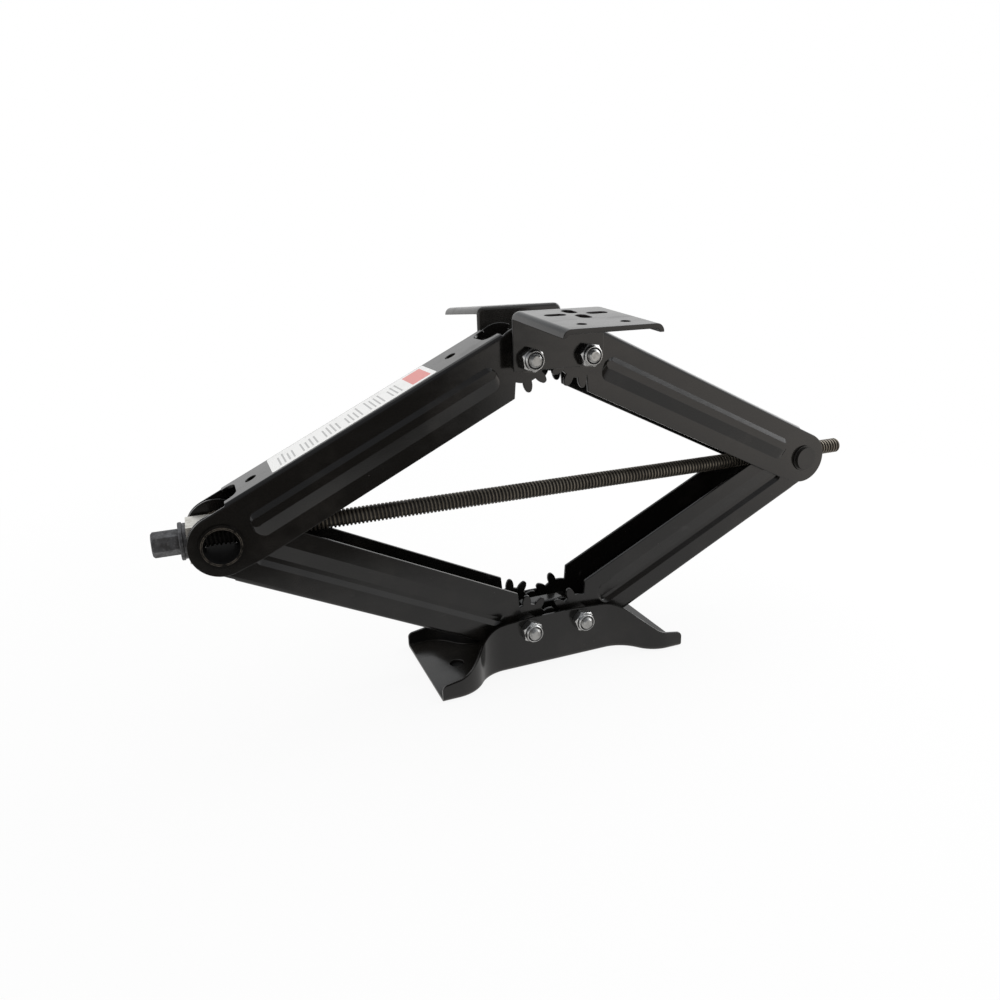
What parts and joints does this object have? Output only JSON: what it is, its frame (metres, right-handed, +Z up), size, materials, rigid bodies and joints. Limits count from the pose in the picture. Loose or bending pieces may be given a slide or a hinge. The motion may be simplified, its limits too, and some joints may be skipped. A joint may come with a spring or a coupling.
{
  "type": "scissor stabilizer jack",
  "caption": "Screw-driven scissor jack with folding channel arms, a bow-tie ground foot and a pair of slotted top brackets, used to steady a parked trailer.",
  "frame": {"origin": "on the ground under the foot, midway between the two base pivots", "axes": "+X along the lead screw towards its free end, +Y across the jack away from the lock nuts, +Z up"},
  "size_m": [0.7202, 0.281, 0.344],
  "materials": {
    "black_paint": "semi-gloss black powder coat",
    "zinc": "bright zinc plate",
    "bare_steel": "drawn steel, lightly greased",
    "pale_steel": "machined, satin",
    "oiled_screw": "rolled thread under dark oil",
    "dark_oxide": "dark grey oxide",
    "label": "printed film, left blank"
  },
  "bodies": {
    "base": {"base_channel": "black_paint", "base_gear_spacer": "black_paint", "base_pivot_bolts": "zinc", "base_lock_nuts": "zinc", "base_pivot_sleeves": "bare_steel", "base_spacer_rings": "bare_steel"},
    "lower_left": {"lower_left_arm": "black_paint"},
    "lower_right": {"lower_right_arm": "black_paint"},
    "left_knuckle": {"drive_trunnion": "black_paint", "thrust_block": "pale_steel"},
    "screw": {"lead_screw": "oiled_screw", "drive_head": "dark_oxide", "screw_collar": "dark_oxide", "thrust_washer": "pale_steel"},
    "upper_left": {"upper_left_arm": "black_paint", "blank_label": "label"},
    "upper_right": {"upper_right_arm": "black_paint"},
    "head": {"front_head_bracket": "black_paint", "rear_head_bracket": "black_paint", "head_pivot_bolts": "zinc", "head_lock_nuts": "zinc", "head_pivot_sleeves": "bare_steel", "head_spacer_rings": "bare_steel"},
    "right_knuckle": {"nut_trunnion": "black_paint", "trunnion_washers": "black_paint"}
  },
  "joints": [
    {"name": "lift", "type": "hinge", "parent": "base", "child": "lower_left", "pos_m": [-0.028, 0, 0.04], "axis": [0, 1, 0], "range_deg": [-20.5, 36]},
    {"name": "lower_right_swing", "type": "hinge", "parent": "base", "child": "lower_right", "pos_m": [0.028, 0, 0.04], "axis": [0, 1, 0], "range_deg": [-36, 20.5]},
    {"name": "left_knuckle_turn", "type": "hinge", "parent": "lower_left", "child": "left_knuckle", "pos_m": [-0.29764, 0, 0.17151], "axis": [0, 1, 0], "range_deg": [-36, 20.5]},
    {"name": "left_fold", "type": "hinge", "parent": "lower_left", "child": "upper_left", "pos_m": [-0.29764, 0, 0.17151], "axis": [0, 1, 0], "range_deg": [-72, 41]},
    {"name": "head_level", "type": "hinge", "parent": "upper_left", "child": "head", "pos_m": [-0.028, 0, 0.30302], "axis": [0, 1, 0], "range_deg": [-20.5, 36]},
    {"name": "upper_right_swing", "type": "hinge", "parent": "head", "child": "upper_right", "pos_m": [0.028, 0, 0.30302], "axis": [0, 1, 0], "range_deg": [-20.5, 36]},
    {"name": "right_knuckle_turn", "type": "hinge", "parent": "lower_right", "child": "right_knuckle", "pos_m": [0.29764, 0, 0.17151], "axis": [0, 1, 0], "range_deg": [-20.5, 36]},
    {"name": "screw_turn", "type": "hinge", "parent": "left_knuckle", "child": "screw", "pos_m": [-0.29764, 0, 0.17151], "axis": [1, 0, 0], "continuous": true}
  ],
  "couplings": [
    {"joint": "lower_right_swing", "follows": "lift", "ratio": -1},
    {"joint": "left_knuckle_turn", "follows": "lift", "ratio": -1},
    {"joint": "left_fold", "follows": "lift", "ratio": -2},
    {"joint": "head_level", "follows": "lift", "ratio": 1},
    {"joint": "upper_right_swing", "follows": "lift", "ratio": 1},
    {"joint": "right_knuckle_turn", "follows": "lift", "ratio": 1}
  ]
}
